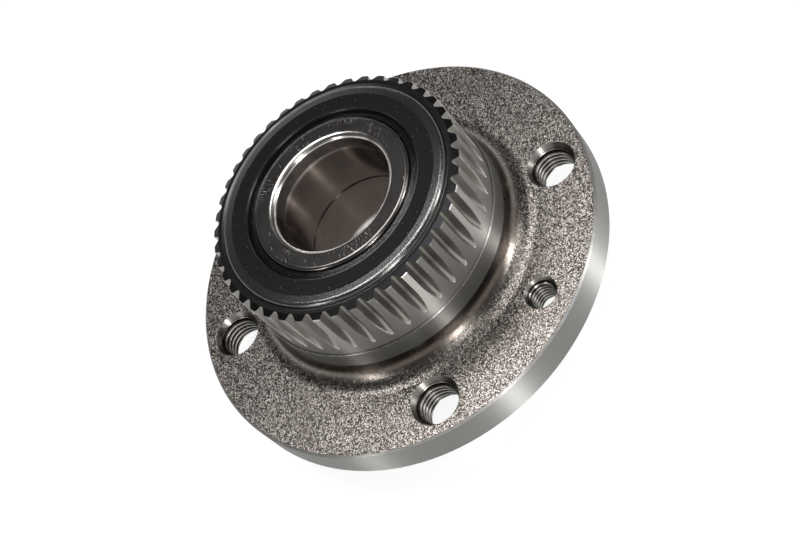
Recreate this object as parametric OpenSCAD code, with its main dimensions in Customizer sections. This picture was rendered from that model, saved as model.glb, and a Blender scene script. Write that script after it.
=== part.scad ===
// Wheel hub bearing for a non-driven wheel: the flanged outer ring turns, the two inner rings stay on the axle.
// Z runs along the axle. Z = 0 is the brake disc face of the flange, and the toothed barrel points up.

/* [Wheel flange] */
// Outer diameter of the flange
flange_d = 120; // [106:0.5:150]
// Thickness of the flange
flange_t = 10; // [8:0.5:12]
// Bevel turned on both rims of the flange
flange_bevel = 0.6; // [0.2:0.1:1.5]
// Distance from the bolt circle to the flange's rim
bolt_margin = 10; // [9:0.5:12]
// Number of wheel bolts
bolt_count = 4; // [3:1:6]
// Thread size of the wheel bolts
bolt_d = 12; // [10:0.5:14]
// How far the countersink at each wheel bolt hole opens past the thread
bolt_sink = 0.9; // [0.3:0.1:1.5]
// Thread size of the screw that locates the brake disc
locator_d = 8; // [5:0.5:9]
// How far the countersink at the locating screw hole opens past the thread
locator_sink = 0.6; // [0.2:0.1:1.5]
// Included angle of the countersinks
sink_angle = 60; // [60:15:120]
// Lead-in bevel of the same holes on the brake disc face
hole_bevel = 0.3; // [0.2:0.1:1]

/* [Wheel spigot] */
// Height of the spigot below the brake disc face
spigot_h = 10; // [6:0.5:20]
// Wall of the spigot round the dust cap bore
spigot_wall = 2.05; // [1.6:0.05:6]
// Lead-in bevel outside the spigot
spigot_bevel = 1; // [0.3:0.1:1.4]
// Lead-in bevel inside the dust cap bore
cap_bevel = 0.6; // [0.2:0.1:1]
// Depth of the dust cap bore
cap_bore_depth = 7.5; // [4:0.5:9]
// How far the dust cap bore stands back from the outboard seal seat
cap_bore_step = 0.6; // [0.4:0.1:1]
// Width of the tool relief turned round the spigot root
relief_w = 2.5; // [1:0.1:4]
// Depth of the tool relief
relief_depth = 0.6; // [0.2:0.1:1]

/* [Barrel] */
// Height of the barrel's end face above the brake disc face
barrel_h = 41.9; // [40:0.1:44]
// Wall between the inboard seal seat and the roots of the teeth
seat_wall = 1.8; // [1.2:0.1:6]
// Height where the turned land of the barrel starts
land_z = 22.2; // [19:0.1:24]
// How far the forged neck under the land stands out from it
neck_step = 0.6; // [0.3:0.1:1.5]
// Bevel on the neck's upper edge
neck_bevel = 0.15; // [0.1:0.05:0.25]
// Radius of the forged fillet between neck and flange
fillet_r = 6.4; // [4:0.1:8]

/* [Speed sensor teeth] */
// Number of teeth cut into the barrel
tooth_count = 44; // [36:1:48]
// Turn of the first tooth from the bolt hole on the X axis
tooth_turn = 3.15; // [0:0.05:8]
// Height of the teeth
tooth_h = 1.9; // [1.2:0.1:2.4]
// Length of each slot from the end face to the point where it runs out
slot_len = 17.2; // [13:0.1:19]
// Radius of the slot's round floor
slot_floor_r = 0.8; // [0.4:0.05:0.9]
// Lean of the slot's flanks
slot_flank = 35; // [20:1:38]
// Radius of the cutter that leaves the run-out
cutter_r = 22; // [16:1:40]
// Small bevel on the outer edge of the teeth's ends
tooth_bevel = 0.15; // [0.1:0.05:0.3]
// How far the teeth's ends slope down from their roots to that edge
tooth_drop = 0.75; // [0.2:0.05:1.5]

/* [Inner rings] */
// Bore that sits on the stub axle
bore_d = 32.5; // [30:0.5:33]
// Width of one inner ring
ring_w = 20.2; // [20:0.1:22.4]
// How far the inboard ring stands above the barrel's end face
ring_proud = 1; // [0.4:0.1:2]
// Radius at the mouth of the bore
bore_mouth_r = 1.8; // [0.8:0.1:2.2]
// Height of the slim cone that leads from that radius into the bore
bore_lead_h = 2.7; // [1:0.1:4]
// How far the cone opens from the bore
bore_lead_step = 0.35; // [0.1:0.05:0.5]
// Radius on the outer edge of the end face
ring_edge_r = 1; // [0.4:0.1:1.4]
// Height of the shoulder above the raceway
inner_shoulder = 3.34; // [2.6:0.02:3.6]
// Height of the low side of the raceway, beside the joint
inner_lip = 0.5; // [0.3:0.1:0.9]
// Bevel where the two inner rings meet
joint_bevel = 0.4; // [0.2:0.1:0.8]

/* [Ball rows] */
// Diameter of the balls
ball_d = 10.32; // [9.4:0.02:10.4]
// Number of balls in one row
ball_count = 13; // [10:1:13]
// Pitch circle of the balls
pitch_d = 49.51; // [49:0.01:52]
// Distance between the two rows
row_pitch = 19.2; // [18.4:0.1:20]
// Contact angle
contact_angle = 35; // [25:1:42]
// Raceway radius as a share of the ball diameter
raceway_ratio = 0.52; // [0.515:0.005:0.54]
// Running clearance between a ball and its raceways
ball_gap = 0.12; // [0.08:0.01:0.2]
// Height of the outer ring's shoulder above the raceway, between the rows
outer_shoulder = 3.4; // [2.6:0.1:3.6]
// Height of the outer ring's low lip, towards the seals
outer_lip = 0.3; // [0.1:0.1:0.6]

/* [Cages] */
// Radial thickness of the cage
cage_t = 3; // [2.4:0.1:3.4]
// Gap between the cage and the outer ring's shoulder
cage_gap = 0.95; // [0.6:0.05:1.4]
// Length of the cage from its ring side to the ball centres
cage_back = 7.4; // [6.2:0.1:7.8]
// Length of the cage beyond the ball centres
cage_front = 2.3; // [1.6:0.1:2.8]
// Clearance of a ball in its pocket
pocket_gap = 0.15; // [0.1:0.01:0.25]

/* [Seals] */
// Radial step from the raceway to the inboard seal seat
seat_step = 2.65; // [1.6:0.05:3.2]
// Radial step from the raceway to the outboard seal seat
outer_seat_step = 0.3; // [0.2:0.1:0.8]
// Lead-in bevel at the mouth of the inboard seal seat
seat_bevel = 0.9; // [0.1:0.1:1]
// Height of a seal's steel case
case_h = 4.8; // [4:0.1:5.3]
// Sheet thickness of the steel case
case_t = 0.9; // [0.6:0.1:0.9]
// Radius of the case's rounded shoulder
case_round = 1.2; // [1:0.1:1.6]
// Bare steel between the rounded shoulder and the rubber's rim, on the inboard seal
rubber_inset = 1.8; // [0.6:0.1:2]
// The same on the outboard seal, which has the smaller case
outer_rubber_inset = 0.8; // [0.1:0.1:1]
// Width of the annulus from the rubber's rim to the lip pocket
rubber_w = 4.7; // [3:0.1:5]
// Thickness of the rubber on the steel case
rubber_t = 0.25; // [0.15:0.05:0.5]
// How far the steel disc ends short of the lip pocket
rubber_wrap = 1.2; // [0.8:0.1:1.6]
// Bevel on the rim of the lip pocket
pocket_bevel = 0.3; // [0.1:0.1:0.6]
// Depth of the lip pocket
pocket_z = 1.2; // [0.9:0.1:1.6]
// Depth of the dust lip's tip under the seal's outer face
dust_lip_z = 0.8; // [0.5:0.1:1]
// Depth of the point where the two lips part
lip_fork_z = 1.9; // [1.6:0.1:2.3]
// How far that point stands in from the lip pocket
lip_fork_w = 0.6; // [0.3:0.1:1]
// Depth of the main lip's tip
main_lip_z = 3.1; // [2.8:0.1:3.4]
// Thickness of the lips at their tips
lip_t = 0.4; // [0.2:0.05:0.6]
// Clearance between a lip and the ring that it runs on
lip_gap = 0.15; // [0.05:0.05:0.3]

/* [Hidden] */
$fn = 128;
SIDES = ["inboard", "outboard"];
BALLS = [for (side = SIDES) for (i = [1:ball_count]) ball_name(side, i)];
// Overlap that a cutting shape has past the face it cuts
cut = 1;
// Clearance left in the solids of a pressed fit
press_gap = 0.01;

// Height of the joint between the inner rings, which is the middle of the bearing
joint_z = barrel_h + ring_proud - ring_w;
bolt_pcd = flange_d - 2 * bolt_margin;
row_z = row_pitch / 2;
ball_r = ball_d / 2;
pitch_r = pitch_d / 2;
raceway_r = raceway_ratio * ball_d;
// A raceway's centre lies off the ball's centre by this much, along the contact line
raceway_offset = raceway_r - ball_r - ball_gap;
raceway_dr = raceway_offset * cos(contact_angle);
raceway_dz = raceway_offset * sin(contact_angle);
inner_race_r = pitch_r + raceway_dr - raceway_r;
outer_race_r = pitch_r - raceway_dr + raceway_r;
inner_shoulder_r = inner_race_r + inner_shoulder;
inner_lip_r = inner_race_r + inner_lip;
outer_shoulder_r = outer_race_r - outer_shoulder;
outer_lip_r = outer_race_r - outer_lip;
inboard_seat_r = outer_race_r + seat_step;
outboard_seat_r = outer_race_r + outer_seat_step;
cap_bore_r = outboard_seat_r + cap_bore_step;
spigot_r = cap_bore_r + spigot_wall;
tooth_root_r = inboard_seat_r + seat_wall;
tooth_tip_r = tooth_root_r + tooth_h;
neck_r = tooth_tip_r + neck_step;
bore_r = bore_d / 2;
bore_mouth_z = ring_w - bore_mouth_r;
// The slot keeps its full depth down to this height, then the cutter's radius lifts out
runout_len = sqrt(2 * cutter_r * tooth_h - tooth_h * tooth_h);
slot_z = barrel_h - slot_len + runout_len;
cage_outer_r = outer_shoulder_r - cage_gap;

function two_digits(i) = str(i < 10 ? "0" : "", i);
function ball_name(side, i) = str("ball_", side, "_", two_digits(i));
function ball_angle(i) = (i - 1) * 360 / ball_count;

// Everything inside a row is drawn for the inboard side, measured from the joint, and mirrored for the other
module on_side(side) {
    translate([0, 0, joint_z]) mirror([0, 0, side == "outboard" ? 1 : 0]) children();
}

// The corner left when a quarter disc is cut out of a square, with the corner at the origin
module corner(r) {
    difference() {
        square(r);
        translate([r, r]) circle(r);
    }
}

module raceway_circle(side_sign) {
    translate([pitch_r + side_sign * raceway_dr, row_z - side_sign * raceway_dz]) circle(raceway_r);
}

module flange_outline() {
    polygon([
        [0, 0],
        [flange_d / 2 - flange_bevel, 0],
        [flange_d / 2, flange_bevel],
        [flange_d / 2, flange_t - flange_bevel],
        [flange_d / 2 - flange_bevel, flange_t],
        [0, flange_t]
    ]);
}

module barrel_outline() {
    polygon([
        [0, flange_t - cut],
        [neck_r, flange_t - cut],
        [neck_r, land_z - neck_bevel],
        [neck_r - neck_bevel, land_z],
        [tooth_tip_r, land_z],
        [tooth_tip_r, barrel_h - tooth_drop - tooth_bevel],
        [tooth_tip_r - tooth_bevel, barrel_h - tooth_drop * (1 - tooth_bevel / tooth_h)],
        [tooth_root_r, barrel_h],
        [0, barrel_h]
    ]);
    translate([neck_r, flange_t]) corner(fillet_r);
}

module spigot_outline() {
    polygon([
        [0, -spigot_h],
        [spigot_r - spigot_bevel, -spigot_h],
        [spigot_r, spigot_bevel - spigot_h],
        [spigot_r, cut],
        [0, cut]
    ]);
}

// A bevel round the mouth of a bore, with the mouth at height zero and the bore above it
module mouth_bevel(r, bevel) {
    polygon([
        [0, -cut],
        [r + bevel + cut, -cut],
        [r, bevel],
        [0, bevel]
    ]);
}

// The stepped bore of the outer ring, with both raceways and both seal seats
module hub_bore_outline() {
    inboard_seat_z = seal_z("inboard") - case_h;
    outboard_seat_z = seal_z("outboard") + case_h;
    translate([0, -spigot_h - cut]) square([outer_shoulder_r, barrel_h + spigot_h + 2 * cut]);
    translate([0, joint_z + row_z]) square([outer_lip_r, barrel_h - joint_z - row_z + cut]);
    translate([0, -spigot_h - cut]) square([outer_lip_r, joint_z - row_z + spigot_h + cut]);
    translate([0, inboard_seat_z]) square([inboard_seat_r, case_h]);
    translate([0, -spigot_h - cut]) square([outboard_seat_r, outboard_seat_z + spigot_h + cut]);
    translate([0, -spigot_h - cut]) square([cap_bore_r, cap_bore_depth + cut]);
    translate([0, -spigot_h]) mouth_bevel(cap_bore_r, cap_bevel);
    translate([0, barrel_h]) mirror([0, 1]) mouth_bevel(inboard_seat_r, seat_bevel);
    translate([0, joint_z]) {
        raceway_circle(-1);
        mirror([0, 1]) raceway_circle(-1);
    }
}

module tapped_hole(d, sink) {
    slope = tan(sink_angle / 2);
    translate([0, 0, -cut]) cylinder(d = d, h = flange_t + fillet_r + cut);
    translate([0, 0, -cut]) cylinder(d1 = d + 2 * hole_bevel + 2 * cut, d2 = d, h = hole_bevel + cut);
    translate([0, 0, flange_t - sink / slope])
        cylinder(d1 = d, d2 = d + 2 * sink + 2 * cut * slope, h = sink / slope + cut);
}

// A round floor that both flanks leave at a tangent
module slot_profile() {
    h = tooth_h + cut;
    touch_x = slot_floor_r * (1 - sin(slot_flank));
    touch_y = slot_floor_r * cos(slot_flank);
    lean = (h - touch_x) * tan(slot_flank);
    translate([slot_floor_r, 0]) circle(slot_floor_r, $fn = 32);
    polygon([
        [touch_x, -touch_y],
        [h, -touch_y - lean],
        [h, touch_y + lean],
        [touch_x, touch_y]
    ]);
}

// One sensor slot: straight from the end face, then lifted out along the cutter's radius
module sensor_slot() {
    runout_angle = acos((cutter_r - tooth_h - cut / 2) / cutter_r);
    translate([tooth_root_r, 0, slot_z]) {
        linear_extrude(barrel_h - slot_z + cut) slot_profile();
        translate([cutter_r, 0, 0])
            rotate([90, 0, 0])
                rotate([0, 0, 180])
                    rotate_extrude(angle = runout_angle)
                        translate([cutter_r, 0]) mirror([1, 0]) slot_profile();
    }
}

module hub() {
    color("#8f8b84")
        difference() {
            rotate_extrude() difference() {
                union() {
                    flange_outline();
                    barrel_outline();
                    spigot_outline();
                }
                hub_bore_outline();
                translate([spigot_r, -cut]) square([relief_w, relief_depth + cut]);
            }
            for (i = [0:tooth_count - 1])
                rotate([0, 0, tooth_turn + (i + 0.5) * 360 / tooth_count]) sensor_slot();
            for (i = [0:bolt_count - 1])
                rotate([0, 0, i * 360 / bolt_count])
                    translate([bolt_pcd / 2, 0, 0]) tapped_hole(bolt_d, bolt_sink);
            rotate([0, 0, 180 / bolt_count])
                translate([bolt_pcd / 2, 0, 0]) tapped_hole(locator_d, locator_sink);
        }
}

module inner_ring(side) {
    color("#6f6d6b")
        on_side(side)
            rotate_extrude() difference() {
                polygon([
                    [bore_r + joint_bevel, 0],
                    [inner_lip_r - joint_bevel, 0],
                    [inner_lip_r, joint_bevel],
                    [inner_lip_r, row_z],
                    [inner_shoulder_r, row_z],
                    [inner_shoulder_r, ring_w],
                    [bore_r + bore_lead_step, ring_w],
                    [bore_r + bore_lead_step, bore_mouth_z],
                    [bore_r, bore_mouth_z - bore_lead_h],
                    [bore_r, joint_bevel]
                ]);
                raceway_circle(1);
                translate([bore_r + bore_lead_step, ring_w]) mirror([0, 1]) corner(bore_mouth_r);
                translate([inner_shoulder_r, ring_w]) rotate(180) corner(ring_edge_r);
            }
}

module cage(side) {
    color("#d8cfae")
        on_side(side)
            difference() {
                translate([0, 0, row_z - cage_back])
                    rotate_extrude()
                        translate([cage_outer_r - cage_t, 0]) square([cage_t, cage_back + cage_front]);
                for (i = [1:ball_count])
                    rotate([0, 0, ball_angle(i)])
                        translate([pitch_r, 0, row_z]) sphere(ball_r + pocket_gap);
            }
}

module ball(side, i) {
    color("#c9ccd0")
        on_side(side)
            rotate([0, 0, ball_angle(i)])
                translate([pitch_r, 0, row_z]) sphere(ball_r);
}

// Seal outlines have their outer face at zero height and reach down into the bearing
module case_outline(seat_r, inner_r, wall) {
    round_r = case_round - wall;
    top = -rubber_t - wall;
    outer = seat_r - press_gap - wall;
    difference() {
        translate([inner_r, -case_h]) square([outer - inner_r, case_h + top]);
        translate([outer, top]) rotate(180) corner(round_r);
    }
}

module seal_case(side) {
    seat_r = seat_r(side);
    inner_r = case_inner_r(side);
    color("#6a6c6e")
        translate([0, 0, seal_z(side)])
            mirror([0, 0, side == "outboard" ? 1 : 0])
                rotate_extrude() difference() {
                    case_outline(seat_r, inner_r, 0);
                    translate([-case_t, 0]) case_outline(seat_r, 0, case_t);
                    case_outline(seat_r, 0, case_t);
                }
}

function seat_r(side) = side == "inboard" ? inboard_seat_r : outboard_seat_r;
function bare_steel(side) = side == "inboard" ? rubber_inset : outer_rubber_inset;
function rubber_outer_r(side) = seat_r(side) - case_round - bare_steel(side);
// The pressed disc of the case ends under the lip pocket
function case_inner_r(side) = rubber_outer_r(side) - rubber_w + rubber_wrap;
// Each seal's outer face is level with the end of its inner ring
function seal_z(side) = joint_z + (side == "inboard" ? ring_w : -ring_w);

module seal_rubber(side) {
    rim_r = rubber_outer_r(side);
    pocket_r = rim_r - rubber_w;
    lip_r = inner_shoulder_r + lip_gap;
    steel_r = case_inner_r(side);
    steel_top = -rubber_t;
    steel_low = -rubber_t - case_t;
    color("#1d1d1f")
        translate([0, 0, seal_z(side)])
            mirror([0, 0, side == "outboard" ? 1 : 0])
                rotate_extrude() polygon([
                    [rim_r, 0],
                    [pocket_r + pocket_bevel, 0],
                    [pocket_r, -pocket_bevel],
                    [pocket_r, -pocket_z],
                    [lip_r + lip_t, lip_t / 2 - dust_lip_z],
                    [lip_r, -dust_lip_z],
                    [pocket_r - lip_fork_w, -lip_fork_z],
                    [lip_r, -main_lip_z],
                    [lip_r + lip_t, -main_lip_z - lip_t],
                    [pocket_r + lip_t, lip_t - main_lip_z],
                    [steel_r + rubber_wrap / 2, steel_low - rubber_t],
                    [steel_r + rubber_wrap / 2, steel_low],
                    [steel_r, steel_low],
                    [steel_r, steel_top],
                    [rim_r, steel_top]
                ]);
}

hub();
for (side = SIDES) {
    inner_ring(side);
    cage(side);
    seal_case(side);
    seal_rubber(side);
    for (i = [1:ball_count])
        ball(side, i);
}
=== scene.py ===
import bpy
import bmesh
import math
from mathutils import Matrix, Vector


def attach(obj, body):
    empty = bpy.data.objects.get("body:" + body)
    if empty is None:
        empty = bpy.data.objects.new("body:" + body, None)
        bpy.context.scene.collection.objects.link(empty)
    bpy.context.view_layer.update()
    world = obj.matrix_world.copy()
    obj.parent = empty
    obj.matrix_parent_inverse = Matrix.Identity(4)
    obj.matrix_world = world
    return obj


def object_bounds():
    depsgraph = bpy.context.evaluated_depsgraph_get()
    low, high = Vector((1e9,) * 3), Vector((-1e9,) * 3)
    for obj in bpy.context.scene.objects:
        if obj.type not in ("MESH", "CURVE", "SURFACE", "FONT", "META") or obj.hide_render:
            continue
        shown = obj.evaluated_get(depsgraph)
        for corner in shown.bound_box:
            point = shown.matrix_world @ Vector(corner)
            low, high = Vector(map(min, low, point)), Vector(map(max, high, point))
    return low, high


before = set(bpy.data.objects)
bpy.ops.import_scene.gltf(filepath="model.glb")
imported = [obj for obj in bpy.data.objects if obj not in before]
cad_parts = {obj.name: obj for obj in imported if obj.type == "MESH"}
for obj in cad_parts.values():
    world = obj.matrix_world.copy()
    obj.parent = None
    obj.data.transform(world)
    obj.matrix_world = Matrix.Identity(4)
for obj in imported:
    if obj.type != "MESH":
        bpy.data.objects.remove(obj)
cadLow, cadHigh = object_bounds()
print("frame loaded,", len(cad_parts), "nodes")

mm = 0.001
farOff = 100        # mm, past the part on every side
softEdge = 0.05     # mm, over which one finish passes to the next


# Small helpers

def linear(hexColour):  # sRGB hex to the linear values that shaders take
    parts = [int(hexColour[i:i + 2], 16) / 255 for i in (1, 3, 5)]
    return tuple(p / 12.92 if p <= 0.04045 else ((p + 0.055) / 1.055) ** 2.4 for p in parts) + (1.0,)


def addNode(material, kind, settings=None, inputs=None):  # an input takes a socket, a value or a hex colour
    node = material.node_tree.nodes.new(kind)
    for key, value in (settings or {}).items():
        if key == "stops":
            while len(node.color_ramp.elements) < len(value):
                node.color_ramp.elements.new(1.0)
            for element, (place, colour) in zip(node.color_ramp.elements, value):
                element.position = place
                element.color = linear(colour)
        else:
            setattr(node, key, value)
    for key, value in (inputs or {}).items():
        if isinstance(value, bpy.types.NodeSocket):
            material.node_tree.links.new(value, node.inputs[key])
        else:
            node.inputs[key].default_value = linear(value) if isinstance(value, str) else value
    return node


# Settings that many nodes share
product = {"operation": "MULTIPLY"}
larger = {"operation": "MAXIMUM"}
ofColours = {"data_type": "RGBA"}       # a mix of inputs 6 and 7 by input 0, to output 2
ofNumbers = {"data_type": "FLOAT"}      # a mix of inputs 2 and 3 by input 0, to output 0


def newMaterial(name):
    material = bpy.data.materials.new(name)
    material.use_nodes = True
    material.node_tree.nodes.clear()
    return material


def dress(piece, material):
    piece.data.materials.clear()
    piece.data.materials.append(material)


def wayTo(around, above):  # a direction, from degrees round the axle and degrees above the flange
    around, above = math.radians(around), math.radians(above)
    return Vector((math.cos(above) * math.cos(around), math.cos(above) * math.sin(around), math.sin(above)))


# Camera, set by the circles of the flange, the barrel and the bolt holes

camera = {
    "place": (273.61, 111.02, 344.30),      # mm, in the part's own frame
    "aim": (22.30, 49.19),                  # degrees round the axle and above the flange, from the part
    "roll": -45.42,
    "sensor": 36,                           # mm
    "lens": 73.84,                          # mm
    "nearest": 0.01,                        # m
}


def makeCamera():
    turn = wayTo(*camera["aim"]).to_track_quat("Z", "Y").to_matrix().to_4x4()
    turn = turn @ Matrix.Rotation(math.radians(camera["roll"]), 4, "Z")
    data = bpy.data.cameras.new("camera")
    data.lens = camera["lens"]
    data.sensor_width = camera["sensor"]
    data.clip_start = camera["nearest"]
    eye = bpy.data.objects.new("camera", data)
    bpy.context.scene.collection.objects.link(eye)
    eye.matrix_world = Matrix.Translation(Vector(camera["place"]) * mm) @ turn
    bpy.context.scene.camera = eye


makeCamera()
print("camera placed")

# Studio: a white table and low white walls, a dark ceiling, and softboxes over the part

studio = {
    "floorSize": 6.0,           # m
    "paper": "#f4f4f2",
    "paperGlow": 0.84,          # what lens and metal see of the paper by itself
    "paperShade": 0.30,         # how much of its light and shadow is added to that
    "wall": 0.90,
    "ceiling": 0.07,
    "wallTop": (0.12, 0.28),    # sine of the height where wall turns to ceiling
    "softboxes": [
        # name, way round and height in degrees, distance, width and depth in metres, watts
        ("overheadSoftbox", 197, 73, 0.90, 0.60, 0.26, 3.8),
        ("topSoftbox", 17, 82, 0.90, 0.50, 0.40, 0.3),
        ("keySoftbox", 98, 52, 0.90, 0.16, 0.90, 1.1),
        ("keyStrip", 80, 20, 1.10, 0.12, 0.50, 4.0),
        ("cameraStrip", 16, 20, 1.10, 0.07, 0.50, 3.4),
        ("cameraSoftbox", 17, 52, 1.10, 0.12, 0.40, 1.0),
        ("sideStrip", -50, 20, 1.10, 0.10, 0.50, 1.4),
        ("backSoftbox", 200, 24, 1.30, 0.80, 0.16, 0.5),
    ],
}


def makeFloor():
    mesh = bpy.data.meshes.new("floor")
    shape = bmesh.new()
    bmesh.ops.create_grid(shape, x_segments=1, y_segments=1, size=studio["floorSize"] / 2,
                          matrix=Matrix.Translation((0, 0, cadLow.z)))
    shape.to_mesh(mesh)
    shape.free()
    floor = bpy.data.objects.new("floor", mesh)
    bpy.context.scene.collection.objects.link(floor)

    # The lens and shiny metal see paper that glows a little; to all else it is plain white paper
    material = newMaterial("white paper")
    ray = addNode(material, "ShaderNodeLightPath")
    seen = ray.outputs["Is Camera Ray"]
    for other in ("Is Transmission Ray", "Is Glossy Ray"):
        seen = addNode(material, "ShaderNodeMath", larger, {0: seen, 1: ray.outputs[other]}).outputs[0]
    paper = addNode(material, "ShaderNodeBsdfDiffuse", None, {"Color": studio["paper"]})
    shade = addNode(material, "ShaderNodeBsdfDiffuse", None, {"Color": (studio["paperShade"],) * 3 + (1,)})
    glow = addNode(material, "ShaderNodeEmission", None,
                   {"Color": "#ffffff", "Strength": studio["paperGlow"]})
    lit = addNode(material, "ShaderNodeAddShader", None, {0: shade.outputs[0], 1: glow.outputs[0]})
    mix = addNode(material, "ShaderNodeMixShader", None, {0: seen, 1: paper.outputs[0], 2: lit.outputs[0]})
    addNode(material, "ShaderNodeOutputMaterial", None, {"Surface": mix.outputs[0]})
    dress(floor, material)


def makeLights():
    for name, around, above, distance, width, depth, watts in studio["softboxes"]:
        way = wayTo(around, above)
        data = bpy.data.lights.new(name, "AREA")
        data.shape = "RECTANGLE"
        data.size = width
        data.size_y = depth
        data.energy = watts
        lamp = bpy.data.objects.new(name, data)
        bpy.context.scene.collection.objects.link(lamp)
        turn = way.to_track_quat("Z", "Y").to_matrix().to_4x4()
        lamp.matrix_world = Matrix.Translation(way * distance) @ turn


def makeWorld():
    world = bpy.data.worlds.new("studio")
    bpy.context.scene.world = world
    world.use_nodes = True
    world.node_tree.nodes.clear()
    way = addNode(world, "ShaderNodeTexCoord").outputs["Generated"]
    height = addNode(world, "ShaderNodeSeparateXYZ", None, {0: way}).outputs["Z"]
    low, high = studio["wallTop"]
    level = addNode(world, "ShaderNodeMapRange", {"interpolation_type": "SMOOTHSTEP"},
                    {"Value": height, "From Min": low, "From Max": high,
                     "To Min": studio["wall"], "To Max": studio["ceiling"]}).outputs[0]
    sky = addNode(world, "ShaderNodeBackground", None, {"Color": "#ffffff", "Strength": level})
    addNode(world, "ShaderNodeOutputWorld", None, {"Surface": sky.outputs[0]})


makeFloor()
makeLights()
makeWorld()
print("studio lit")


# Places on the part that the materials share

def roundTheAxle(material):  # in mm: radius, height, and a place that is the same all round; and the angle
    place = addNode(material, "ShaderNodeTexCoord").outputs["Object"]
    inMm = addNode(material, "ShaderNodeVectorMath", {"operation": "SCALE"},
                   {0: place, "Scale": 1 / mm}).outputs[0]
    split = addNode(material, "ShaderNodeSeparateXYZ", None, {0: inMm})
    flat = addNode(material, "ShaderNodeVectorMath", product, {0: inMm, 1: (1, 1, 0)}).outputs[0]
    radius = addNode(material, "ShaderNodeVectorMath", {"operation": "LENGTH"}, {0: flat}).outputs["Value"]
    angle = addNode(material, "ShaderNodeMath", {"operation": "ARCTAN2"},
                    {0: split.outputs["Y"], 1: split.outputs["X"]}).outputs[0]
    turned = addNode(material, "ShaderNodeCombineXYZ", None,
                     {"X": radius, "Z": split.outputs["Z"]}).outputs[0]
    return {"mm": inMm, "z": split.outputs["Z"], "flat": flat, "radius": radius, "angle": angle,
            "turned": turned}


def between(material, value, low, high, soft=softEdge):  # one between two sizes in mm, nought past them
    rise = addNode(material, "ShaderNodeMapRange", None,
                   {"Value": value, "From Min": low - soft, "From Max": low})
    fall = addNode(material, "ShaderNodeMapRange", None,
                   {"Value": value, "From Min": high, "From Max": high + soft, "To Min": 1.0, "To Max": 0.0})
    return addNode(material, "ShaderNodeMath", product, {0: rise.outputs[0], 1: fall.outputs[0]}).outputs[0]


# Outer ring: one steel forging, shot-blasted where left as forged, and turned, ground or milled elsewhere

hubSteel = {
    "grain": 0.34,                  # mm, dents that the shot leaves, drawn a little coarse so that they show
    "fineGrain": 0.2125,            # mm, roughness within a dent
    "grainDepth": 0.028,            # mm
    "dentsLeft": 0.12,              # share of that depth left where scale covers the fillet
    "dentFade": (0.1, 2.2),         # mm above the flange, from where and to where they fade
    "grainRoughness": (0.22, 0.34),
    "dentShadeAndGlint": (0.65, 0.12),      # share of a dent's width where its painted shade is darkest and its painted glint lightest
    "ownGrey": 0.5,                 # share that each dent's own grey has in its shade
    # each dent's own grey, from painted shade at its rim to a painted glint at its centre
    "blasted": [(0.15, "#3f3b38"), (0.40, "#857e78"), (0.60, "#bdb5af"), (0.80, "#fffaf6")],
    "patch": 11.11,                 # mm, faint darker patches
    "patchColour": "#6a645d",
    "patchShare": 0.25,
    "ragged": 1.111,                # mm, unevenness of the scale's start and of the painted edge highlights
    "raggedReach": 2.4,             # mm, how far it moves the scale's start
    "scale": [(0.0, "#8a837c"), (0.35, "#564d46"), (0.7, "#48484b"), (1.0, "#78787c")],     # up the fillet
    "scaleFrom": 11.2,              # mm above the disc face
    "scaleFade": (0.8, 1.2),        # mm below and above, over which it thickens
    "scaleReach": 7.5,              # mm, over which its colour changes
    "scaleRoughness": 0.24,
    "milled": "#8b8883",            # slots between the teeth
    "sunk": "#98948f",              # countersinks
    "end": "#3c3c3d",               # ends of the teeth, darkened as a painted dark reflection
    "thread": "#2e2b28",            # painted shade on the walls of the holes
    "cutRoughness": 0.28,
    "turned": "#abaaa7",            # rim and disc face
    "neckSteel": "#75736f",         # the band below the toothed barrel
    "ground": "#8f8c88",            # lands of the teeth
    "edge": "#efedea",              # painted highlight on the sharp edges
    "turningFeed": 0.22,            # mm from mark to mark, drawn coarse so that they show
    "turningDepth": 0.006,          # mm
    "turnedRoughness": (0.5, 0.4),  # rim and disc face, and the barrel
    "flange": cadHigh.x / mm,       # mm, radius
    "rimBevel": 0.5,                # mm
    "plate": 10,                    # mm, thickness of the flange
    "neck": 37.0,                   # mm, radius
    "neckStart": 16.6,              # mm above the disc face, where the fillet ends
    "neckEdge": 0.3,                # mm, over which scale gives way to turned steel
    "land": 22.2,                   # mm above the disc face, where the toothed barrel steps in
    "slotStart": 24.3,              # mm above the disc face
    "toothRoot": 34.5,              # mm, radius
    "toothTip": 36.4,               # mm, radius
    "toothDrop": 0.75,              # mm, the teeth's ends fall away to the outside
    "barrelEnd": 41.9,              # mm above the disc face
    "slack": 0.12,                  # mm, that a finish reaches past an edge
    "highlightWidth": 0.16,                   # mm, width of the painted highlight along an edge
    "highlightShare": (0.1, 0.5),        # how strong the painted highlight is, from least to most
    "boltCircle": 50,               # mm, radius
    "boltMouth": 6.95,              # mm from a hole's own axis
    "boltWall": 6.05,
    "screwMouth": 4.65,
    "screwWall": 4.05,
}


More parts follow.
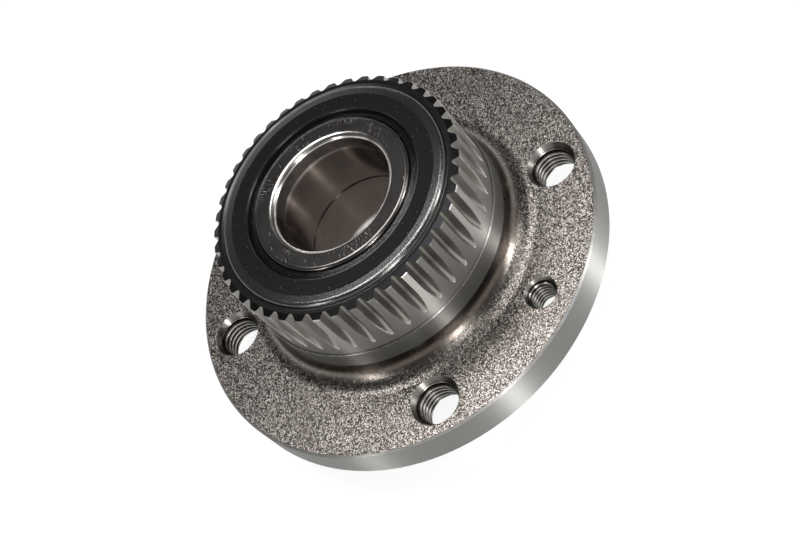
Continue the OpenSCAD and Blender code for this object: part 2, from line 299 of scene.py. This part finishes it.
def findHoles(material, at):  # masks for the countersinks and for the walls of all five holes
    look = hubSteel
    away = addNode(material, "ShaderNodeVectorMath", {"operation": "ABSOLUTE"}, {0: at["flat"]}).outputs[0]
    split = addNode(material, "ShaderNodeSeparateXYZ", None, {0: away})
    far = addNode(material, "ShaderNodeMath", larger, {0: split.outputs[0], 1: split.outputs[1]}).outputs[0]
    near = addNode(material, "ShaderNodeMath", {"operation": "MINIMUM"},
                   {0: split.outputs[0], 1: split.outputs[1]}).outputs[0]
    folded = addNode(material, "ShaderNodeCombineXYZ", None, {"X": far, "Y": near}).outputs[0]
    side = look["boltCircle"] / math.sqrt(2)
    gaps = {}
    for kind, place, hole in (("bolt", folded, (look["boltCircle"], 0, 0)),
                              ("screw", at["flat"], (side, side, 0))):
        gaps[kind] = addNode(material, "ShaderNodeVectorMath", {"operation": "DISTANCE"},
                             {0: place, 1: hole}).outputs["Value"]
    found = []
    for reach in ("Mouth", "Wall"):
        bolts, screw = (between(material, gaps[kind], -farOff, look[kind + reach])
                        for kind in ("bolt", "screw"))
        found.append(addNode(material, "ShaderNodeMath", larger, {0: bolts, 1: screw}).outputs[0])
    return found


def findHubBands(material, at, ragged):  # a mask for each finish on the hub
    look = hubSteel
    bands = {
        "barrel": between(material, at["z"], look["neckStart"], farOff, look["neckEdge"]),
        "land": between(material, at["z"], look["land"] - softEdge, farOff),
        "rim": between(material, at["radius"], look["flange"] - look["rimBevel"] - look["slack"], farOff),
        "disc": between(material, at["z"], -farOff, look["plate"] - look["rimBevel"] - look["slack"]),
    }
    bands["mouths"], bands["walls"] = findHoles(material, at)
    bands["slots"] = addNode(material, "ShaderNodeMath", product, {
        0: between(material, at["z"], look["slotStart"], farOff),
        1: between(material, at["radius"], look["toothRoot"] - look["slack"],
                   look["toothTip"] - look["slack"]),
    }).outputs[0]
    fall = addNode(material, "ShaderNodeMapRange", None,
                   {"Value": at["radius"], "From Min": look["toothRoot"], "From Max": look["toothTip"],
                    "To Max": look["toothDrop"]}).outputs[0]
    levelled = addNode(material, "ShaderNodeMath", {"operation": "ADD"}, {0: at["z"], 1: fall}).outputs[0]
    bands["end"] = between(material, levelled, look["barrelEnd"] - softEdge, farOff)

    # Slots, holes and tooth ends are cut; rim, disc face and barrel are turned, where they aren't cut
    for whole, parts in (("cut", ("slots", "mouths", "end")), ("tooled", ("rim", "disc", "barrel"))):
        bands[whole] = bands[parts[0]]
        for part in parts[1:]:
            bands[whole] = addNode(material, "ShaderNodeMath", larger,
                                   {0: bands[whole], 1: bands[part]}).outputs[0]
    bands["uncut"] = addNode(material, "ShaderNodeMath", {"operation": "SUBTRACT"},
                             {0: 1.0, 1: bands["cut"]}).outputs[0]
    bands["turned"] = addNode(material, "ShaderNodeMath", product,
                              {0: bands["tooled"], 1: bands["uncut"]}).outputs[0]

    # Painted highlight on the sharp edges, where they catch the light: the neck's shoulder, the flange's rim,
    # and the slots' corners and ends
    tip, highlightWidth = look["toothTip"], look["highlightWidth"]
    highlitEdges = 0.0
    for value, low, high, radiusLow, radiusHigh in (
            (at["z"], look["land"] - highlightWidth, farOff, tip + highlightWidth, look["neck"] + highlightWidth),
            (at["z"], look["plate"] - look["rimBevel"], look["plate"],
             look["flange"] - look["rimBevel"], look["flange"] - softEdge),
            (at["z"], look["slotStart"], look["barrelEnd"], tip - highlightWidth - softEdge, tip - 2 * softEdge),
            (levelled, look["barrelEnd"] - highlightWidth, look["barrelEnd"] + highlightWidth, tip - highlightWidth, tip)):
        edge = addNode(material, "ShaderNodeMath", product, {
            0: between(material, value, low, high),
            1: between(material, at["radius"], radiusLow, radiusHigh),
        }).outputs[0]
        highlitEdges = addNode(material, "ShaderNodeMath", larger, {0: highlitEdges, 1: edge}).outputs[0]
    least, most = look["highlightShare"]
    brokenHighlight = addNode(material, "ShaderNodeMapRange", None,
                      {"Value": ragged, "From Min": 0.3, "From Max": 0.7,
                       "To Min": least, "To Max": most}).outputs[0]
    bands["highlitEdges"] = addNode(material, "ShaderNodeMath", product, {0: highlitEdges, 1: brokenHighlight}).outputs[0]
    return bands


def makeHubSteel():
    # A steel forging: the shot leaves dents in a warm grey skin, with painted glints and painted shade in
    # them, and the tools leave cool silver bands
    look = hubSteel
    material = newMaterial("shot-blasted and turned forged steel")
    at = roundTheAxle(material)
    cells = addNode(material, "ShaderNodeTexVoronoi", None, {"Vector": at["mm"], "Scale": 1 / look["grain"]})
    cellShade = addNode(material, "ShaderNodeSeparateColor", None, {0: cells.outputs["Color"]}).outputs[0]
    fine, patches, ragged = (
        addNode(material, "ShaderNodeTexNoise", None,
                {"Vector": at["mm"], "Scale": scale, "Detail": detail}).outputs[0]
        for scale, detail in ((1 / look["fineGrain"], 2.0), (1 / look["patch"], 3.0),
                              (1 / look["ragged"], 3.0)))
    bands = findHubBands(material, at, ragged)

    # Forged skin: each dent has its own grey, painted shade at its rim and a painted glint at its centre, and
    # scale darkens the fillet and the neck
    rim, floor = look["dentShadeAndGlint"]
    paintedDentLight = addNode(material, "ShaderNodeMapRange", None,
                     {"Value": cells.outputs["Distance"], "From Min": rim, "From Max": floor}).outputs[0]
    shade = addNode(material, "ShaderNodeMix", ofNumbers,
                    {0: look["ownGrey"], 2: paintedDentLight, 3: cellShade}).outputs[0]
    skin = addNode(material, "ShaderNodeValToRGB", {"stops": look["blasted"]}, {"Fac": shade}).outputs[0]
    patched = addNode(material, "ShaderNodeMapRange", None,
                      {"Value": patches, "From Min": 0.4, "From Max": 0.7,
                       "To Max": look["patchShare"]}).outputs[0]
    blur = addNode(material, "ShaderNodeMath", {"operation": "MULTIPLY_ADD"},
                   {0: ragged, 1: look["raggedReach"], 2: -look["raggedReach"] / 2}).outputs[0]
    raggedZ = addNode(material, "ShaderNodeMath", {"operation": "ADD"}, {0: at["z"], 1: blur}).outputs[0]
    start = look["scaleFrom"]
    below, above = look["scaleFade"]
    climb = addNode(material, "ShaderNodeMapRange", None,
                    {"Value": raggedZ, "From Min": start, "From Max": start + look["scaleReach"]}).outputs[0]
    tint = addNode(material, "ShaderNodeValToRGB", {"stops": look["scale"]}, {"Fac": climb}).outputs[0]
    scaled = addNode(material, "ShaderNodeMapRange", None,
                     {"Value": raggedZ, "From Min": start - below, "From Max": start + above}).outputs[0]

    # Colours over the skin, and over the turned steel, one on the other
    metal = look["turned"]
    for mask, colour in ((patched, look["patchColour"]), (scaled, tint), (bands["slots"], look["milled"]),
                         # the tooth ends take a painted dark reflection
                         (bands["mouths"], look["sunk"]), (bands["end"], look["end"]),
                         # painted shade on the hole walls
                         (bands["walls"], look["thread"]), (bands["highlitEdges"], look["edge"])):
        skin = addNode(material, "ShaderNodeMix", ofColours, {0: mask, 6: skin, 7: colour}).outputs[2]
    # the painted edge highlight lies on the turned steel as on the skin
    for band, colour in (("barrel", "neckSteel"), ("land", "ground"), ("highlitEdges", "edge")):
        metal = addNode(material, "ShaderNodeMix", ofColours,
                        {0: bands[band], 6: metal, 7: look[colour]}).outputs[2]

    # Dents in the skin, which fade up the fillet, and turning marks on the tooled bands
    below, above = look["dentFade"]
    calm = addNode(material, "ShaderNodeMapRange", None,
                   {"Value": at["z"], "From Min": look["plate"] + below, "From Max": look["plate"] + above,
                    "To Min": 1.0, "To Max": look["dentsLeft"]}).outputs[0]
    dents = addNode(material, "ShaderNodeMath", {"operation": "ADD"},
                    {0: cells.outputs["Distance"], 1: fine}).outputs[0]
    for mask in (calm, bands["uncut"]):
        dents = addNode(material, "ShaderNodeMath", product, {0: dents, 1: mask}).outputs[0]
    marks = addNode(material, "ShaderNodeTexNoise", None,
                    {"Vector": at["turned"], "Scale": 1 / look["turningFeed"], "Detail": 1.0}).outputs[0]
    dented, marked = (
        addNode(material, "ShaderNodeBump", None,
                {"Height": height, "Strength": 1.0, "Distance": depth * mm}).outputs[0]
        for height, depth in ((dents, look["grainDepth"]), (marks, look["turningDepth"])))

    # Tool marks run round the axle, so on turned steel the lamps draw out to streaks across them
    bright, dull = look["grainRoughness"]
    roughSkin = addNode(material, "ShaderNodeMix", ofNumbers, {0: cellShade, 2: bright, 3: dull}).outputs[0]
    for mask, rough in ((scaled, look["scaleRoughness"]), (bands["cut"], look["cutRoughness"])):
        roughSkin = addNode(material, "ShaderNodeMix", ofNumbers,
                            {0: mask, 2: roughSkin, 3: rough}).outputs[0]
    flat, barrel = look["turnedRoughness"]
    roughTurned = addNode(material, "ShaderNodeMix", ofNumbers,
                          {0: bands["barrel"], 2: flat, 3: barrel}).outputs[0]
    tangent = addNode(material, "ShaderNodeTangent", {"direction_type": "RADIAL", "axis": "Z"}).outputs[0]
    forged = addNode(material, "ShaderNodeBsdfPrincipled", None,
                     {"Metallic": 1.0, "Base Color": skin, "Roughness": roughSkin,
                      "Normal": dented}).outputs[0]
    machined = addNode(material, "ShaderNodeBsdfPrincipled", None,
                       {"Metallic": 1.0, "Base Color": metal, "Roughness": roughTurned, "Normal": marked,
                        "Anisotropic": 1.0, "Anisotropic Rotation": 0.25, "Tangent": tangent}).outputs[0]
    surface = addNode(material, "ShaderNodeMixShader", None,
                      {0: bands["turned"], 1: forged, 2: machined}).outputs[0]
    addNode(material, "ShaderNodeOutputMaterial", None, {"Surface": surface})
    return material


dress(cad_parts["hub"], makeHubSteel())
print("hub dressed")

# Inner rings: through-hardened bearing steel, ground in the bore and on the end faces

ringSteel = {
    "ground": "#7d7a78",            # end faces, darker than bare steel as a painted dark reflection
    "mouth": "#dedbd8",             # painted highlight on the rounded and coned mouth of the bore
    "mouthRadius": 18.0,            # mm
    "bore": "#746860",              # a film of brown preserving oil
    "joint": 22.7,                  # mm above the disc face, where the two rings meet
    "filmReach": 14.5,              # mm to each side of the joint; the mouth beyond it keeps its painted highlight
    "filmEdge": 1.6,                # mm, over which it ends
    "stain": "#5d5753",
    "stainSize": 4.545,             # mm
    "stainShare": 0.45,
    "scratch": "#d9d7d4",
    "endFace": (18.6, 21.7, 0.15),  # mm, radii that show scratches, and how softly they start
    "grinding": (150, 0.5, 1),      # radial scratches to a radian, and in a mm of their length
    "grindingPatch": 8.333,         # mm
    "handling": (0.12, 2.6, 0.3),   # long scratches, in a mm along, across and down
    "handlingLean": 38,             # degrees
    "faceRoughness": (0.22, 0.55),  # clean and scratched
    "boreRoughness": 0.38,
    "groundFeed": 0.16,             # mm from mark to mark, drawn coarse so that they show
    "groundDepth": 0.003,           # mm
}


def findScratches(material, at):  # radial grinding scratches in patches, and long ones from handling
    look = ringSteel
    unrolled = addNode(material, "ShaderNodeCombineXYZ", None,
                       {"X": at["angle"], "Y": at["radius"]}).outputs[0]
    stretched = addNode(material, "ShaderNodeMapping", None,
                        {"Vector": unrolled, "Scale": look["grinding"]}).outputs[0]
    lines = addNode(material, "ShaderNodeTexNoise", None,
                    {"Vector": stretched, "Scale": 1.0, "Detail": 2.0}).outputs[0]
    where = addNode(material, "ShaderNodeTexNoise", None,
                    {"Vector": at["mm"], "Scale": 1 / look["grindingPatch"], "Detail": 1.0}).outputs[0]
    leaning = addNode(material, "ShaderNodeMapping", None,
                      {"Vector": at["mm"], "Rotation": (0, 0, math.radians(look["handlingLean"])),
                       "Scale": look["handling"]}).outputs[0]
    handled = addNode(material, "ShaderNodeTexVoronoi", None,
                      {"Vector": leaning, "Scale": 1.0}).outputs["Distance"]
    lines, where, handled = (
        addNode(material, "ShaderNodeMapRange", None,
                {"Value": value, "From Min": low, "From Max": high}).outputs[0]
        for value, low, high in ((lines, 0.60, 0.72), (where, 0.50, 0.62), (handled, 0.10, 0.05)))
    lines = addNode(material, "ShaderNodeMath", product, {0: lines, 1: where}).outputs[0]
    scratched = addNode(material, "ShaderNodeMath", larger, {0: lines, 1: handled}).outputs[0]
    endFace = between(material, at["radius"], *look["endFace"])
    return addNode(material, "ShaderNodeMath", product, {0: scratched, 1: endFace}).outputs[0]


def makeRingSteel():
    # Hardened bearing steel, ground glossy, in a colour darkened as a painted dark reflection, with bright
    # handling scratches
    look = ringSteel
    material = newMaterial("ground bearing steel")
    at = roundTheAxle(material)
    mouth = between(material, at["radius"], 0, look["mouthRadius"])
    oiled = between(material, at["z"], look["joint"] - look["filmReach"], look["joint"] + look["filmReach"],
                    look["filmEdge"])
    bore = addNode(material, "ShaderNodeMath", product, {0: mouth, 1: oiled}).outputs[0]
    stain = addNode(material, "ShaderNodeTexNoise", None,
                    {"Vector": at["mm"], "Scale": 1 / look["stainSize"], "Detail": 4.0}).outputs[0]
    stained = addNode(material, "ShaderNodeMapRange", None,
                      {"Value": stain, "From Min": 0.42, "From Max": 0.68,
                       "To Max": look["stainShare"]}).outputs[0]
    scratched = findScratches(material, at)
    # ground faces in a colour darkened as a painted dark reflection
    colour = look["ground"]
    # painted highlight on the mouth, then the oil film, stains and scratches over it
    for mask, over in ((mouth, "mouth"), (bore, "bore"), (stained, "stain"), (scratched, "scratch")):
        colour = addNode(material, "ShaderNodeMix", ofColours,
                         {0: mask, 6: colour, 7: look[over]}).outputs[2]
    clean, rough = look["faceRoughness"]
    roughness = addNode(material, "ShaderNodeMix", ofNumbers, {0: scratched, 2: clean, 3: rough}).outputs[0]
    marks = addNode(material, "ShaderNodeTexNoise", None,
                    {"Vector": at["turned"], "Scale": 1 / look["groundFeed"], "Detail": 1.0}).outputs[0]
    marked = addNode(material, "ShaderNodeBump", None,
                     {"Height": marks, "Strength": 1.0, "Distance": look["groundDepth"] * mm}).outputs[0]
    tangent = addNode(material, "ShaderNodeTangent", {"direction_type": "RADIAL", "axis": "Z"}).outputs[0]
    face = addNode(material, "ShaderNodeBsdfPrincipled", None,
                   {"Metallic": 1.0, "Base Color": colour, "Roughness": roughness,
                    "Normal": marked}).outputs[0]
    honed = addNode(material, "ShaderNodeBsdfPrincipled", None,
                    {"Metallic": 1.0, "Base Color": colour, "Roughness": look["boreRoughness"],
                     "Normal": marked, "Anisotropic": 1.0, "Anisotropic Rotation": 0.25,
                     "Tangent": tangent}).outputs[0]
    surface = addNode(material, "ShaderNodeMixShader", None, {0: bore, 1: face, 2: honed}).outputs[0]
    addNode(material, "ShaderNodeOutputMaterial", None, {"Surface": surface})
    return material


bearingSteel = makeRingSteel()
for side in ("inboard", "outboard"):
    dress(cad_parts["inner_ring_" + side], bearingSteel)
print("inner rings dressed")

# Seals: a pressed steel case with nitrile rubber moulded over it

seal = {
    "case": "#999897",
    "caseDim": "#4c4b4a",
    "caseGrain": 0.18,              # mm
    "caseGrainDepth": 0.015,        # mm
    "caseRoughness": 0.25,
    "caseStreak": 0.6,
    "rubber": "#131314",
    "rubberRoughness": (0.24, 0.16),    # flat, and at the lips
    "lips": (10, 25.4, 0.2),        # mm, radii, and how softly they start
    "mouldRing": 0.35,              # mm between the fine rings round the lips
    "wet": 0.4167,                  # mm, grease on the lips
    "lipDepth": 0.07,               # mm
    "dust": 0.5,                    # mm between specks at their closest
    "dustColour": "#7c7a78",
    "dustShare": 0.965,             # above it a speck shows
}


def makeSealSteel():
    # Deep-drawn sheet: drawing grain breaks the shine of the rounded shoulder
    material = newMaterial("pressed sheet steel")
    at = roundTheAxle(material)
    grain = addNode(material, "ShaderNodeTexNoise", None,
                    {"Vector": at["mm"], "Scale": 1 / seal["caseGrain"], "Detail": 2.0}).outputs[0]
    dim = addNode(material, "ShaderNodeMapRange", None,
                  {"Value": grain, "From Min": 0.35, "From Max": 0.65}).outputs[0]
    colour = addNode(material, "ShaderNodeMix", ofColours,
                     {0: dim, 6: seal["case"], 7: seal["caseDim"]}).outputs[2]
    bumped = addNode(material, "ShaderNodeBump", None,
                     {"Height": grain, "Strength": 1.0, "Distance": seal["caseGrainDepth"] * mm}).outputs[0]
    tangent = addNode(material, "ShaderNodeTangent", {"direction_type": "RADIAL", "axis": "Z"}).outputs[0]
    surface = addNode(material, "ShaderNodeBsdfPrincipled", None,
                      {"Metallic": 1.0, "Base Color": colour, "Roughness": seal["caseRoughness"],
                       "Normal": bumped, "Anisotropic": seal["caseStreak"], "Anisotropic Rotation": 0.25,
                       "Tangent": tangent}).outputs[0]
    addNode(material, "ShaderNodeOutputMaterial", None, {"Surface": surface})
    return material


def makeSealRubber():
    # Nitrile rubber from a polished mould: deep black and glossy, with fine rings near the lips and some dust
    material = newMaterial("moulded nitrile rubber")
    at = roundTheAxle(material)
    specks = addNode(material, "ShaderNodeTexVoronoi", None, {"Vector": at["mm"], "Scale": 1 / seal["dust"]})
    near = addNode(material, "ShaderNodeMapRange", None,
                   {"Value": specks.outputs["Distance"], "From Min": 0.22, "From Max": 0.12}).outputs[0]
    shade = addNode(material, "ShaderNodeSeparateColor", None, {0: specks.outputs["Color"]}).outputs[0]
    few = addNode(material, "ShaderNodeMath", {"operation": "GREATER_THAN"},
                  {0: shade, 1: seal["dustShare"]}).outputs[0]
    dusty = addNode(material, "ShaderNodeMath", product, {0: near, 1: few}).outputs[0]
    colour = addNode(material, "ShaderNodeMix", ofColours,
                     {0: dusty, 6: seal["rubber"], 7: seal["dustColour"]}).outputs[2]
    lips = between(material, at["radius"], *seal["lips"])
    rings = addNode(material, "ShaderNodeTexNoise", None,
                    {"Vector": at["turned"], "Scale": 1 / seal["mouldRing"], "Detail": 2.0}).outputs[0]
    wet = addNode(material, "ShaderNodeTexNoise", None,
                  {"Vector": at["mm"], "Scale": 1 / seal["wet"], "Detail": 2.0}).outputs[0]
    uneven = addNode(material, "ShaderNodeMath", {"operation": "ADD"}, {0: rings, 1: wet}).outputs[0]
    height = addNode(material, "ShaderNodeMix", ofNumbers, {0: lips, 2: 0.5, 3: uneven}).outputs[0]
    bumped = addNode(material, "ShaderNodeBump", None,
                     {"Height": height, "Strength": 1.0, "Distance": seal["lipDepth"] * mm}).outputs[0]
    flat, lip = seal["rubberRoughness"]
    roughness = addNode(material, "ShaderNodeMix", ofNumbers, {0: lips, 2: flat, 3: lip}).outputs[0]
    surface = addNode(material, "ShaderNodeBsdfPrincipled", None,
                      {"Base Color": colour, "Roughness": roughness, "Normal": bumped}).outputs[0]
    addNode(material, "ShaderNodeOutputMaterial", None, {"Surface": surface})
    return material


sheetSteel = makeSealSteel()
nitrile = makeSealRubber()
for side in ("inboard", "outboard"):
    dress(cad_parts["seal_case_" + side], sheetSteel)
    dress(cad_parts["seal_rubber_" + side], nitrile)
print("seals dressed")

# Ball rows: polished chrome steel balls in cages of glass-filled nylon

rows = {
    "nylon": "#cfc39b",
    "nylonDim": "#b3a67c",
    "nylonRoughness": 0.42,
    "fibre": 0.25,                  # mm
    "fibreStretch": (1, 1, 0.25),
    "fibreDepth": 0.02,             # mm
    "ball": "#c9cacc",
    "ballRoughness": (0.05, 0.14),
    "oilFilm": 1.25,                # mm
}


def makeNylon():
    # Glass-filled nylon: natural cream, with short fibres just under the skin that mottle it
    material = newMaterial("glass-filled nylon")
    at = roundTheAxle(material)
    along = addNode(material, "ShaderNodeMapping", None,
                    {"Vector": at["mm"], "Scale": rows["fibreStretch"]}).outputs[0]
    fibres = addNode(material, "ShaderNodeTexNoise", None,
                     {"Vector": along, "Scale": 1 / rows["fibre"], "Detail": 3.0}).outputs[0]
    dim = addNode(material, "ShaderNodeMapRange", None,
                  {"Value": fibres, "From Min": 0.4, "From Max": 0.7}).outputs[0]
    colour = addNode(material, "ShaderNodeMix", ofColours,
                     {0: dim, 6: rows["nylon"], 7: rows["nylonDim"]}).outputs[2]
    bumped = addNode(material, "ShaderNodeBump", None,
                     {"Height": fibres, "Strength": 1.0, "Distance": rows["fibreDepth"] * mm}).outputs[0]
    surface = addNode(material, "ShaderNodeBsdfPrincipled", None,
                      {"Base Color": colour, "Roughness": rows["nylonRoughness"],
                       "Normal": bumped}).outputs[0]
    addNode(material, "ShaderNodeOutputMaterial", None, {"Surface": surface})
    return material


def makeBallSteel():
    # Lapped and polished balls: near mirrors, broken only by a faint oil film
    material = newMaterial("lapped ball steel")
    at = roundTheAxle(material)
    film = addNode(material, "ShaderNodeTexNoise", None,
                   {"Vector": at["mm"], "Scale": 1 / rows["oilFilm"], "Detail": 2.0}).outputs[0]
    clean, oily = rows["ballRoughness"]
    roughness = addNode(material, "ShaderNodeMapRange", None,
                        {"Value": film, "To Min": clean, "To Max": oily}).outputs[0]
    surface = addNode(material, "ShaderNodeBsdfPrincipled", None,
                      {"Metallic": 1.0, "Base Color": rows["ball"], "Roughness": roughness}).outputs[0]
    addNode(material, "ShaderNodeOutputMaterial", None, {"Surface": surface})
    return material


nylon = makeNylon()
polished = makeBallSteel()
for name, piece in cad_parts.items():
    if name.startswith("cage"):
        dress(piece, nylon)
    elif name.startswith("ball"):
        dress(piece, polished)
print("ball rows dressed")

# Threads cut in the bolt holes and the locating screw hole

threads = {
    "wheelBolt": {"pitch": 1.5, "wall": 6.0, "sink": 0.9},      # M12 x 1.5
    "discScrew": {"pitch": 1.25, "wall": 4.0, "sink": 0.6},     # M8 x 1.25
    "sinkSlope": math.tan(math.radians(30)),
    "bevel": 0.3,                   # mm, at the disc face
    "depth": 0.541,                 # thread depth as a share of the pitch
    "crest": 0.125,                 # flat left on the crest
    "root": 0.80,                   # width of the ridge at the wall
    "sunk": 0.03,                   # mm that a ridge reaches into the wall
    "inset": 0.05,                  # mm that the thread's ends stay inside the flange
    "steps": 72,                    # to a turn
    "sharp": 35,                    # degrees
    # painted highlight on the crests and painted shade on the flanks and roots
    "crestHighlight": "#d8d4cd",
    "flankShade": "#2f2c29",
    "stain": "#4a4440",
    "stainSize": 0.625,             # mm
    "stainShare": 0.5,
    "roughness": (0.22, 0.36),
}


def makeThreadSteel():
    # Tapped steel with cutting oil stains in it: a painted highlight on the crests, painted shade on the
    # flanks and roots
    material = newMaterial("tapped and oiled steel")
    at = roundTheAxle(material)
    height = addNode(material, "ShaderNodeAttribute", {"attribute_name": "crest"}).outputs["Fac"]
    stain = addNode(material, "ShaderNodeTexNoise", None,
                    {"Vector": at["mm"], "Scale": 1 / threads["stainSize"], "Detail": 3.0}).outputs[0]
    # the painted highlight rises with the ridge's height
    crestLit = addNode(material, "ShaderNodeMapRange", None,
                     {"Value": height, "From Min": 0.45, "From Max": 0.95}).outputs[0]
    stained = addNode(material, "ShaderNodeMapRange", None,
                      {"Value": stain, "From Min": 0.4, "From Max": 0.7,
                       "To Max": threads["stainShare"]}).outputs[0]
    colour = threads["flankShade"]
    for mask, over in ((crestLit, "crestHighlight"), (stained, "stain")):
        colour = addNode(material, "ShaderNodeMix", ofColours,
                         {0: mask, 6: colour, 7: threads[over]}).outputs[2]
    low, high = threads["roughness"]
    roughness = addNode(material, "ShaderNodeMapRange", None,
                        {"Value": stain, "To Min": low, "To Max": high}).outputs[0]
    surface = addNode(material, "ShaderNodeBsdfPrincipled", None,
                      {"Metallic": 1.0, "Base Color": colour, "Roughness": roughness}).outputs[0]
    addNode(material, "ShaderNodeOutputMaterial", None, {"Surface": surface})
    return material


def makeThread(name, kind, centre):
    plate = hubSteel["plate"]
    size = threads[kind]
    pitch, wall = size["pitch"], size["wall"]
    minor = wall - threads["depth"] * pitch
    half, flat = threads["root"] * pitch / 2, threads["crest"] * pitch / 2
    outer = wall + threads["sunk"]
    turns = plate / pitch + 1   # one more than the flange is thick, trimmed below
    shape = bmesh.new()
    ridge = [shape.verts.new((r, 0, z - pitch)) for r, z in
             ((outer, -half), (minor, -flat), (minor, flat), (outer, half))]
    edges = [shape.edges.new((ridge[i], ridge[(i + 1) % 4])) for i in range(4)]
    bmesh.ops.spin(shape, geom=ridge + edges, cent=(0, 0, 0), axis=(0, 0, 1),
                   dvec=(0, 0, pitch / threads["steps"]), angle=2 * math.pi * turns,
                   steps=round(turns * threads["steps"]), use_merge=False, use_duplicate=False)
    bmesh.ops.holes_fill(shape, edges=[e for e in shape.edges if e.is_boundary], sides=4)
    crest = shape.verts.layers.float.new("crest")
    top = plate - size["sink"] / threads["sinkSlope"]
    for v in shape.verts:   # the countersinks cut the ends of the thread to a cone
        r = math.hypot(v.co.x, v.co.y)
        v[crest] = (outer - r) / (outer - minor)
        cone = wall + max((v.co.z - top) * threads["sinkSlope"], threads["bevel"] - v.co.z)
        if r < cone:
            v.co.xy *= (cone + (threads["sunk"] if cone > wall else 0)) / r
        v.co.z = min(max(v.co.z, threads["inset"]), plate - threads["inset"])
    bmesh.ops.recalc_face_normals(shape, faces=shape.faces)
    bmesh.ops.transform(shape, matrix=Matrix.Scale(mm, 4) @ Matrix.Translation(centre), verts=shape.verts)
    mesh = bpy.data.meshes.new(name)
    shape.to_mesh(mesh)
    shape.free()
    for face in mesh.polygons:
        face.use_smooth = True
    mesh.set_sharp_from_angle(angle=math.radians(threads["sharp"]))
    piece = bpy.data.objects.new(name, mesh)
    bpy.context.scene.collection.objects.link(piece)
    dress(piece, tappedSteel)
    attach(piece, "wheel_hub")


tappedSteel = makeThreadSteel()
for i in range(4):
    turn = math.radians(90 * i)
    radius = hubSteel["boltCircle"]
    makeThread("boltThread%d" % (i + 1), "wheelBolt", (radius * math.cos(turn), radius * math.sin(turn), 0))
side = hubSteel["boltCircle"] / math.sqrt(2)
makeThread("discScrewThread", "discScrew", (side, side, 0))
print("threads cut")

bpy.context.scene.view_settings.view_transform = "Standard"
